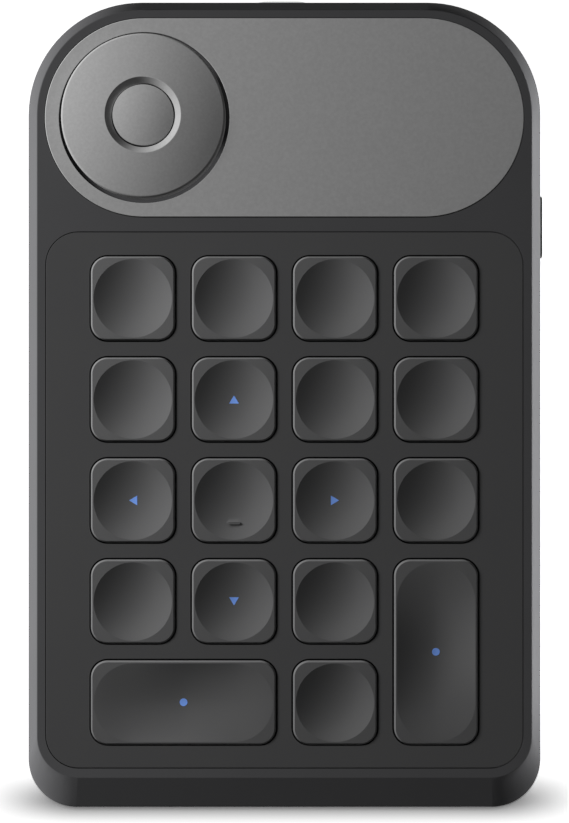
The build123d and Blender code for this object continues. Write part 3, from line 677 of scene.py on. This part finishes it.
@dataclass
class TopPlates:
    """The header panel and the key deck that lie in the top case's pockets."""

    panel_edge_mm: float = 0.12
    deck_edge_mm: float = 0.05

    def dress(self, finishes: Finishes) -> None:
        """Finish both plates."""
        dress_node("header_panel", finishes.panel, self.panel_edge_mm)
        dress_node("key_deck", finishes.deck, self.deck_edge_mm)


class MarkerShape(Enum):
    """The generic marks printed on keys: a dot, or an arrow by the angle in degrees that it points to."""

    RIGHT = 0
    UP = 90
    LEFT = 180
    DOWN = 270
    DOT = -1


@dataclass(frozen=True)
class LongScoop:
    """The scoop of a long cap: a stadium in outline, deepest in the middle and fading towards both ends."""

    half_across_mm: float
    half_along_mm: float
    depth_mm: float
    runs_along_x: bool
    across_power: float = 1.8
    along_power: float = 1.65
    fade_power: float = 1.15

    def depth_at(self, x_mm: float, y_mm: float) -> float:
        """The scoop's depth at a point, or 0 outside its outline.

        Args:
            x_mm: The distance from the key's centre along X.
            y_mm: The distance from the key's centre along Y.

        Returns:
            The depth in millimetres.
        """
        along, across = (abs(x_mm), abs(y_mm)) if self.runs_along_x else (abs(y_mm), abs(x_mm))
        past_straight = max(along - self.half_along_mm + self.half_across_mm, 0.0)
        half_width = math.sqrt(max(self.half_across_mm**2 - past_straight**2, 0.0))
        if across >= half_width or along >= self.half_along_mm:
            return 0.0
        fade = (1 - (along / self.half_along_mm) ** self.along_power) ** self.fade_power
        return self.depth_mm * fade * (1 - (across / half_width) ** self.across_power)

    def reach(self, x_mm: float, y_mm: float) -> float:
        """How far the outline lies from the centre in the direction of a point.

        Args:
            x_mm: The point's distance from the key's centre along X.
            y_mm: The point's distance from the key's centre along Y.

        Returns:
            The outline's distance as a share of the point's own.
        """
        along, across = (abs(x_mm), abs(y_mm)) if self.runs_along_x else (abs(y_mm), abs(x_mm))
        straight = self.half_along_mm - self.half_across_mm
        if across * straight > along * self.half_across_mm:
            return self.half_across_mm / across
        square = along**2 + across**2
        root = math.sqrt((along * straight) ** 2 - square * (straight**2 - self.half_across_mm**2))
        return (along * straight + root) / square


@dataclass
class KeyField:
    """The eighteen key caps, their domes and wires, and the printed marks on six of them.

    The two long caps are built anew from the rim up, because their scoops fade out towards both ends.
    """

    cap_edge_mm: float = 0.08
    dish_diameter_mm: float = 14.8
    dish_depth_mm: float = 0.9
    long_names: tuple[str, ...] = ("wide_key", "tall_key")
    rim_mm: float = 0.5
    rim_step_mm: float = 0.6
    lid_reach: float = 1.1
    scoop_rings: int = 22
    scoops: dict[str, LongScoop] = field(default_factory=dict)
    arrow_height_mm: float = 1.55
    arrow_base_mm: float = 1.85
    arrow_corner_mm: float = 0.1
    dot_diameter_mm: float = 1.46
    dot_points: int = 32
    ink_film_mm: float = 0.02
    marks: dict[str, MarkerShape] = field(
        default_factory=lambda: {
            "key_r2_c2": MarkerShape.UP,
            "key_r3_c1": MarkerShape.LEFT,
            "key_r3_c3": MarkerShape.RIGHT,
            "key_r4_c2": MarkerShape.DOWN,
            "wide_key": MarkerShape.DOT,
            "tall_key": MarkerShape.DOT,
        }
    )

    def key_names(self) -> list[str]:
        """The names of the key caps, which are the bodies that have a dome of their own."""
        return sorted(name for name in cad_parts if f"{name}_dome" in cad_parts)

    def raised_pieces(self) -> tuple[str, ...]:
        """The caps that show, and their printed marks."""
        caps = [f"{name}_cap" if name in self.long_names else name for name in self.key_names()]
        return (*caps, *(f"{name}_mark" for name in self.marks))

    def dress(self, finishes: Finishes) -> None:
        """Finish every cap, dome and stabiliser wire, then print the marks.

        Args:
            finishes: The keypad's finishes.
        """
        for name in self.key_names():
            if name in self.long_names:
                self.build_long_cap(name, finishes)
                dress_node(f"{name}_bar", finishes.dark_steel)
            else:
                dress_node(name, finishes.cap, self.cap_edge_mm)
            dress_node(f"{name}_dome", finishes.silicone)
        dress_node("guide_frame", finishes.inner_plastic)
        for name, shape in self.marks.items():
            self.print_mark(name, shape, finishes)

    def outline(self, shape: MarkerShape) -> list[tuple[float, float]]:
        """The outline of a mark round its own centre.

        Args:
            shape: Which mark.

        Returns:
            Points in millimetres, anticlockwise.
        """
        if shape is MarkerShape.DOT:
            turns = [2 * math.pi * step / self.dot_points for step in range(self.dot_points)]
            radius = self.dot_diameter_mm / 2
            return [(radius * math.cos(turn), radius * math.sin(turn)) for turn in turns]
        tip_x, side_y = self.arrow_height_mm / 2, self.arrow_base_mm / 2
        corners = [Vector(corner) for corner in ((tip_x, 0), (-tip_x, side_y), (-tip_x, -side_y))]
        points = []
        for index, corner in enumerate(corners):
            before = (corners[index - 1] - corner).normalized() * self.arrow_corner_mm
            after = (corners[(index + 1) % len(corners)] - corner).normalized() * self.arrow_corner_mm
            points += [corner + before, corner + (before + after) / 4, corner + after]
        cos, sin = math.cos(math.radians(shape.value)), math.sin(math.radians(shape.value))
        return [(p.x * cos - p.y * sin, p.x * sin + p.y * cos) for p in points]

    def dish_rise(self, key: str, x_mm: float, y_mm: float) -> float:
        """How far the dish rises at a point, above its lowest point.

        Args:
            key: The key's name.
            x_mm: The distance from the key's centre along X.
            y_mm: The distance from the key's centre along Y.

        Returns:
            The rise in millimetres.
        """
        if key in self.scoops:
            return self.dish_depth_mm - self.scoops[key].depth_at(x_mm, y_mm)
        dish_radius = ((self.dish_diameter_mm / 2) ** 2 + self.dish_depth_mm**2) / (2 * self.dish_depth_mm)
        return dish_radius - math.sqrt(dish_radius**2 - x_mm**2 - y_mm**2)

    def build_long_cap(self, key: str, finishes: Finishes) -> None:
        """Build a long cap: the construction cap's walls, stem and ears under a new rim and scoop.

        The old lid is taken off down to lid_reach times the scoop's depth.

        Args:
            key: The long key's name.
            finishes: The keypad's finishes.
        """
        low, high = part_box(key)
        mesh = bmesh.new()
        mesh.from_mesh(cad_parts[key].data)
        bmesh.ops.remove_doubles(mesh, verts=mesh.verts[:], dist=FACET_JOIN_MM * MM)
        mesh.normal_update()
        lid_low_z = high.z - self.lid_reach * self.dish_depth_mm * MM
        lid_slope = math.cos(SHARP_ANGLE)
        lid = [f for f in mesh.faces if f.normal.z > lid_slope and f.calc_center_median().z > lid_low_z]
        bmesh.ops.delete(mesh, geom=lid, context="FACES")
        for edge in [e for e in mesh.edges if e.is_boundary]:
            cuts = int(edge.calc_length() / (self.rim_step_mm * MM))
            if cuts:
                bmesh.ops.subdivide_edges(mesh, edges=[edge], cuts=cuts)
        half = (high - low) / 2 / MM
        scoop = LongScoop(
            half_across_mm=min(half.x, half.y) - self.rim_mm,
            half_along_mm=max(half.x, half.y) - self.rim_mm,
            depth_mm=self.dish_depth_mm,
            runs_along_x=half.x > half.y,
        )
        self.scoops[key] = scoop
        centre = ((low + high) / 2).xy
        rings = [self.open_loop(mesh)]
        offsets = [(vertex.co.xy - centre) / MM for vertex in rings[0]]
        edge = [offset * scoop.reach(offset.x, offset.y) for offset in offsets]
        for step in range(self.scoop_rings):
            share = 1 - step / self.scoop_rings
            ring = []
            for point in edge:
                depth = scoop.depth_at(point.x * share, point.y * share) * MM
                ring.append(mesh.verts.new((*(centre + point * share * MM), high.z - depth)))
            for corners in zip(rings[-1], turned(rings[-1]), turned(ring), ring):
                mesh.faces.new(corners)
            rings.append(ring)
        bottom = mesh.verts.new((*centre, high.z - self.dish_depth_mm * MM))
        for first, second in zip(ring, turned(ring)):
            mesh.faces.new((first, second, bottom))
        bmesh.ops.recalc_face_normals(mesh, faces=mesh.faces[:])
        for face in mesh.faces:
            face.smooth = True
        for edge in mesh.edges:
            edge.smooth = len(edge.link_faces) == 2 and edge.calc_face_angle() < SHARP_ANGLE
        for ends in zip(rings[1], turned(rings[1])):
            mesh.edges.get(ends).smooth = False
        piece = add_piece(f"{key}_cap", mesh, finishes.cap, key)
        old_normals = piece.data.attributes.get("custom_normal")
        if old_normals:
            piece.data.attributes.remove(old_normals)
        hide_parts(key)
        break_edges(piece, self.cap_edge_mm)

    def open_loop(self, mesh: BMesh) -> list[BMVert]:
        """Find the vertices round the mesh's one opening.

        Args:
            mesh: The mesh.

        Returns:
            The vertices in order.
        """
        edges = [edge for edge in mesh.edges if edge.is_boundary]
        loop = [edges[0].verts[0]]
        while edges:
            edge = next(e for e in loop[-1].link_edges if e in edges)
            edges.remove(edge)
            loop.append(edge.other_vert(loop[-1]))
        return loop[:-1]

    def print_mark(self, key: str, shape: MarkerShape, finishes: Finishes) -> None:
        """Lay a thin film of ink on a dish.

        Args:
            key: The key that carries the mark.
            shape: Which mark.
            finishes: The keypad's finishes.
        """
        low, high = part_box(key)
        centre = (low + high) / 2 / MM
        dish_z = high.z / MM - self.dish_depth_mm
        mesh = bmesh.new()
        rim = [mesh.verts.new((x, y, 0.0)) for x, y in self.outline(shape)]
        face = mesh.faces.new(rim)
        bmesh.ops.poke(mesh, faces=[face])
        bmesh.ops.subdivide_edges(mesh, edges=mesh.edges[:], cuts=1, use_grid_fill=True)
        under = bmesh.ops.extrude_face_region(mesh, geom=mesh.faces[:])
        lifted = {v for v in under["geom"] if isinstance(v, BMVert)}
        for vertex in mesh.verts:
            rise = self.dish_rise(key, vertex.co.x, vertex.co.y)
            film = self.ink_film_mm if vertex in lifted else -self.ink_film_mm
            vertex.co = Vector((centre.x + vertex.co.x, centre.y + vertex.co.y, dish_z + rise + film)) * MM
        bmesh.ops.recalc_face_normals(mesh, faces=mesh.faces[:])
        add_piece(f"{key}_mark", mesh, finishes.ink, key)


@dataclass
class Dial:
    """The dial with its push button, encoder and clip. Its turned edges are rounded in the construction."""

    def dress(self, finishes: Finishes) -> None:
        """Finish the dial's outer pieces and the works under them.

        Args:
            finishes: The keypad's finishes.
        """
        dress_node("dial_knob", finishes.dial)
        dress_node("dial_button", finishes.dial_button)
        dress_node("dial_clip", finishes.dark_steel)
        dress_node("detent_spring", finishes.bright_steel)
        dress_node("button_switch", finishes.bright_steel)
        dress_node("encoder_rotor", finishes.inner_plastic)
        dress_node("encoder_body", finishes.inner_plastic)


@dataclass
class UsbSocket:
    """The USB-C socket: its steel shell, tongue and two rows of contacts."""

    shell_edge_mm: float = 0.05
    contact_count: int = 12
    contact_pitch_mm: float = 0.5
    contact_width_mm: float = 0.25
    contact_length_mm: float = 3.4
    contact_thickness_mm: float = 0.06
    contact_edge_mm: float = 0.008
    contact_set_back_mm: float = 0.45
    contact_proud_mm: float = 0.02
    tongue_thickness_mm: float = 0.7

    def dress(self, finishes: Finishes) -> None:
        """Finish the socket and build its contacts.

        Args:
            finishes: The keypad's finishes.
        """
        dress_node("usb_shell", finishes.bright_steel, self.shell_edge_mm)
        dress_node("usb_tongue", finishes.inner_plastic)
        self.build_contacts(finishes)

    def build_contacts(self, finishes: Finishes) -> None:
        """Lay a row of gold strips on each side of the tongue.

        Args:
            finishes: The keypad's finishes.
        """
        low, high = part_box("usb_tongue")
        centre = (low + high) / 2
        half = Vector((self.contact_width_mm, self.contact_length_mm, self.contact_thickness_mm)) / 2 * MM
        y = high.y - self.contact_set_back_mm * MM - half.y
        rise = (self.tongue_thickness_mm / 2 + self.contact_proud_mm) * MM - half.z
        mesh = bmesh.new()
        for side in (-1, 1):
            for index in range(self.contact_count):
                x = centre.x + (index - (self.contact_count - 1) / 2) * self.contact_pitch_mm * MM
                middle = Vector((x, y, centre.z + side * rise))
                for vertex in bmesh.ops.create_cube(mesh, size=2.0)["verts"]:
                    vertex.co = middle + Vector(a * b for a, b in zip(vertex.co, half))
        edge = self.contact_edge_mm * MM
        bmesh.ops.bevel(mesh, geom=mesh.edges[:], offset=edge, segments=1, affect="EDGES", profile=0.5)
        add_piece("usb_contacts", mesh, finishes.gold, "case")


@dataclass
class SidePower:
    """The power button in the right wall and the switch behind it."""

    button_edge_mm: float = 0.06

    def dress(self, finishes: Finishes) -> None:
        """Finish both."""
        dress_node("power_button", finishes.side_button, self.button_edge_mm)
        dress_node("power_switch", finishes.inner_plastic)


@dataclass
class Electronics:
    """The board and what stands on it."""

    def dress(self, finishes: Finishes) -> None:
        """Finish the board, chip and battery.

        Args:
            finishes: The keypad's finishes.
        """
        dress_node("main_board", finishes.board)
        dress_node("controller_chip", finishes.chip)
        dress_node("battery", finishes.battery)


# ---------------- studio
@dataclass(frozen=True)
class Softbox:
    """A rectangular lamp, hung at a bearing and a height angle from the point that it is aimed at.

    Bearings are in degrees from +X towards +Y, the power is in watts, and the spread is how far a grid over
    the lamp lets its light fan out. Names in lights_only and shines_through are of pieces: the only ones that
    the lamp lights, and the ones that throw no shadow in it.
    """

    name: str
    bearing: float
    elevation: float
    distance_mm: float
    power: float
    width_mm: float = 120.0
    height_mm: float = 60.0
    aim_mm: tuple[float, float, float] = (0.0, 0.0, 11.0)
    spread: float = 180.0
    in_reflections: bool = False
    lights_only: tuple[str, ...] = ()
    shines_through: tuple[str, ...] = ()

    def build(self) -> None:
        """Make the lamp, with its width lying level."""
        lamp = bpy.data.lights.new(self.name, "AREA")
        lamp.shape = "RECTANGLE"
        lamp.size = self.width_mm * MM
        lamp.size_y = self.height_mm * MM
        lamp.energy = self.power
        lamp.spread = math.radians(self.spread)
        bearing, elevation = math.radians(self.bearing), math.radians(self.elevation)
        level = math.cos(elevation)
        outward = Vector((level * math.cos(bearing), level * math.sin(bearing), math.sin(elevation)))
        piece = bpy.data.objects.new(self.name, lamp)
        piece.location = (Vector(self.aim_mm) + outward * self.distance_mm) * MM
        piece.rotation_euler = (-outward).to_track_quat("-Z", "Y").to_euler()
        piece.visible_camera = False
        piece.visible_glossy = self.in_reflections
        bpy.context.scene.collection.objects.link(piece)
        linking = piece.light_linking
        if self.lights_only:
            linking.receiver_collection = self.collect("lights_only", self.lights_only, "INCLUDE")
        if self.shines_through:
            linking.blocker_collection = self.collect("shines_through", self.shines_through, "EXCLUDE")
        log.info("hung %s", self.name)

    def collect(self, purpose: str, names: tuple[str, ...], state: str) -> Collection:
        """Gather pieces for one of the lamp's lists.

        Args:
            purpose: What the list is for.
            names: The pieces' names.
            state: "INCLUDE" or "EXCLUDE".

        Returns:
            The collection, with each piece marked.
        """
        gathered = bpy.data.collections.new(f"{self.name}_{purpose}")
        for name in names:
            gathered.objects.link(bpy.data.objects[name])
        for entry in gathered.collection_objects:
            entry.light_linking.link_state = state
        return gathered


@dataclass
class Studio:
    """Floor, lamps, surround and camera."""

    frame_height_px: int = 823
    deck_scale_mm: float = 0.18869
    camera_distance_mm: float = 500.0
    camera_y_mm: float = -1.27
    sensor_mm: float = 36.0
    nearest_mm: float = 10.0
    floor_half_mm: float = 4000.0
    floor_colour: str = "#949494"
    floor_lift: float = 3.3
    # The shadow sheet paints shadow: a graded black sheet just over the desk, seen by no ray, that darkens
    # the desk in front.
    shadow_sheet_height_mm: float = 0.2
    shadow_sheet_opacity: float = 0.99
    shadow_sheet_even_half_mm: float = 40.0
    shadow_sheet_half_mm: float = 62.0
    shadow_sheet_behind_edge_mm: float = 7.5
    shadow_sheet_darkest_mm: float = 0.45
    shadow_sheet_before_edge_mm: float = 5.4
    surround_strength: float = 0.05

    def build(self) -> None:
        """Set up the floor, the surround and the camera."""
        bpy.context.scene.view_settings.view_transform = "Standard"
        self.build_floor()
        self.build_shadow_sheet()
        self.build_surround()
        self.build_camera()
        log.info("built the studio")

    def build_floor(self) -> None:
        """Make the desk plane that the keypad stands on."""
        corner = Vector((self.floor_half_mm, self.floor_half_mm, 0.0)) * MM
        mesh_object("desk", level_rectangle(-corner, corner), self.floor_material())

    def build_shadow_sheet(self) -> None:
        """Lay a graded sheet over the desk at the keypad's front edge, seen by no ray, that casts a painted
        shadow at its foot.
        """
        front_y = construction_box[0].y / MM
        low = Vector((-self.shadow_sheet_half_mm, front_y - self.shadow_sheet_before_edge_mm, self.shadow_sheet_height_mm)) * MM
        high = Vector((self.shadow_sheet_half_mm, front_y + self.shadow_sheet_behind_edge_mm, self.shadow_sheet_height_mm)) * MM
        shadow_sheet = mesh_object("painted_shadow_sheet", level_rectangle(low, high), self.shadow_sheet_material())
        for kind in ("camera", "diffuse", "glossy", "transmission"):
            setattr(shadow_sheet, f"visible_{kind}", False)

    def shadow_sheet_material(self) -> Material:
        """Painted shadow: black gauze that thins out towards its edges, there only to shade the desk.

        Returns:
            The material.
        """
        material, tree, place = new_material("painted_shadow_gauze")
        axes = add_node(tree, "ShaderNodeSeparateXYZ", inputs={"Vector": place})
        side = number_step(tree, "ABSOLUTE", (axes, "X"))
        front_y = construction_box[0].y / MM
        darkest_y = front_y + self.shadow_sheet_darkest_mm
        ramps = []
        for value, start, end, full in (
            (side, self.shadow_sheet_half_mm, self.shadow_sheet_even_half_mm, self.shadow_sheet_opacity),
            ((axes, "Y"), front_y - self.shadow_sheet_before_edge_mm, darkest_y, 1.0),
            ((axes, "Y"), front_y + self.shadow_sheet_behind_edge_mm, darkest_y, 1.0),
        ):
            ends = {"Value": value, "From Min": start * MM, "From Max": end * MM, "To Max": full}
            ramp = add_node(tree, "ShaderNodeMapRange", {"interpolation_type": "SMOOTHSTEP"}, ends)
            ramps.append((ramp, "Result"))
        density = number_step(tree, "MULTIPLY", number_step(tree, "MULTIPLY", *ramps[:2]), ramps[2])
        clear = add_node(tree, "ShaderNodeBsdfTransparent")
        painted_shadow = add_node(tree, "ShaderNodeBsdfDiffuse", inputs={"Color": linear("#000000")})
        mix_surface(tree, density, (clear, "BSDF"), (painted_shadow, "BSDF"), "Material")
        return material

    def floor_material(self) -> Material:
        """Matt white paper, lifted wherever it is seen, so that only its shadows aren't pure white.

        Returns:
            The material.
        """
        material = bpy.data.materials.new("white_paper_sweep")
        tree = empty_tree(material)
        lift = (self.floor_lift, self.floor_lift, self.floor_lift, 1.0)
        plain = add_node(tree, "ShaderNodeBsdfDiffuse", inputs={"Color": linear(self.floor_colour)})
        lifted = add_node(tree, "ShaderNodeBsdfDiffuse", inputs={"Color": lift})
        mix_surface(tree, self.seen_factor(tree), (plain, "BSDF"), (lifted, "BSDF"), "Material")
        return material

    def seen_factor(self, tree: NodeTree) -> Link:
        """Join the kinds of ray that see the background: camera, glossy and transmission rays.

        Args:
            tree: The node tree of a material or the world.

        Returns:
            A value that is 1 for those rays and 0 for others.
        """
        path = add_node(tree, "ShaderNodeLightPath")
        direct = number_step(tree, "MAXIMUM", (path, "Is Camera Ray"), (path, "Is Glossy Ray"))
        return number_step(tree, "MAXIMUM", direct, (path, "Is Transmission Ray"))

    def build_surround(self) -> None:
        """Make the world: an even dim room that lights the keypad, and white where it is seen."""
        world = bpy.data.worlds.new("studio_surround")
        tree = empty_tree(world)
        room, backdrop = (
            add_node(tree, "ShaderNodeBackground", inputs={"Color": linear("#ffffff"), "Strength": strength})
            for strength in (self.surround_strength, 1.0)
        )
        mix_surface(tree, self.seen_factor(tree), (room, "Background"), (backdrop, "Background"), "World")
        bpy.context.scene.world = world

    def build_camera(self) -> None:
        """Hang the camera straight above the keypad."""
        lens = bpy.data.cameras.new("overhead_camera")
        lens.sensor_width = self.sensor_mm
        lens.lens = self.sensor_mm * self.camera_distance_mm / (self.frame_height_px * self.deck_scale_mm)
        lens.clip_start = self.nearest_mm * MM
        deck_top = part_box("key_deck")[1].z
        camera = bpy.data.objects.new("overhead_camera", lens)
        camera.location = (0.0, self.camera_y_mm * MM, deck_top + self.camera_distance_mm * MM)
        bpy.context.scene.collection.objects.link(camera)
        bpy.context.scene.camera = camera

    def hang_lamps(self, caps: tuple[str, ...], dial: tuple[str, ...]) -> None:
        """Hang the lamps round the finished keypad.

        Each group of surfaces has a key light of its own that the others don't take, since each looks best
        at its own angle: the scoops need it low, the deck higher. The dial throws no shadow in them, and what
        stands on the case throws none on its walls from the left.

        Args:
            caps: The key caps and their marks.
            dial: The dial's outer pieces.
        """
        walls = ("top_case", "base_shell", "usb_shell")
        plates = ("key_deck", "header_panel")
        for lamp in (
            Softbox(
                name="cap_key_light", bearing=155.5, elevation=9.5, distance_mm=280, width_mm=112,
                power=2.35, lights_only=caps, shines_through=dial,
            ),
            Softbox(
                name="cap_fill_light", bearing=156, elevation=55, distance_mm=300, height_mm=120,
                power=0.06, lights_only=caps, in_reflections=True,
            ),
            Softbox(
                name="deck_key_light", bearing=165, elevation=42, distance_mm=340, height_mm=120,
                power=1.25, lights_only=("key_deck",), shines_through=dial,
            ),
            Softbox(
                name="panel_key_light", bearing=155, elevation=16.5, distance_mm=375, width_mm=150,
                power=3.85, lights_only=("header_panel", *dial), shines_through=dial,
            ),
            Softbox(
                name="left_wall_light", bearing=180, elevation=11.3, distance_mm=500, height_mm=40,
                power=11.0, aim_mm=(0.0, 10.0, 11.0), lights_only=walls,
                shines_through=(*caps, *dial, *plates),
            ),
            Softbox(
                name="right_wall_light", bearing=0, elevation=-1.5, distance_mm=200, width_mm=132,
                height_mm=16, power=0.086, aim_mm=(0.0, -1.0, 9.0), spread=14, lights_only=walls,
            ),
            Softbox(
                name="corner_fill_light", bearing=-35, elevation=5, distance_mm=300,
                power=0.16, lights_only=walls,
            ),
            Softbox(
                name="floor_light", bearing=90, elevation=80, distance_mm=12000, width_mm=2000,
                height_mm=2000, power=432, aim_mm=(0.0, -76.0, 0.0), lights_only=("desk",),
                in_reflections=True,
            ),
        ):
            lamp.build()


def main() -> None:
    """Build the studio, then finish the keypad one sub-assembly at a time."""
    logging.basicConfig(level=logging.INFO, format="%(name)s: %(message)s")
    studio = Studio()
    studio.build()
    finishes = Finishes()
    keys = KeyField()
    for assembly in (CaseShells(), TopPlates(), keys, Dial(), UsbSocket(), SidePower(), Electronics()):
        assembly.dress(finishes)
        log.info("finished %s", type(assembly).__name__)
    studio.hang_lamps(keys.raised_pieces(), ("dial_knob", "dial_button"))


if __name__ == "__main__":
    main()
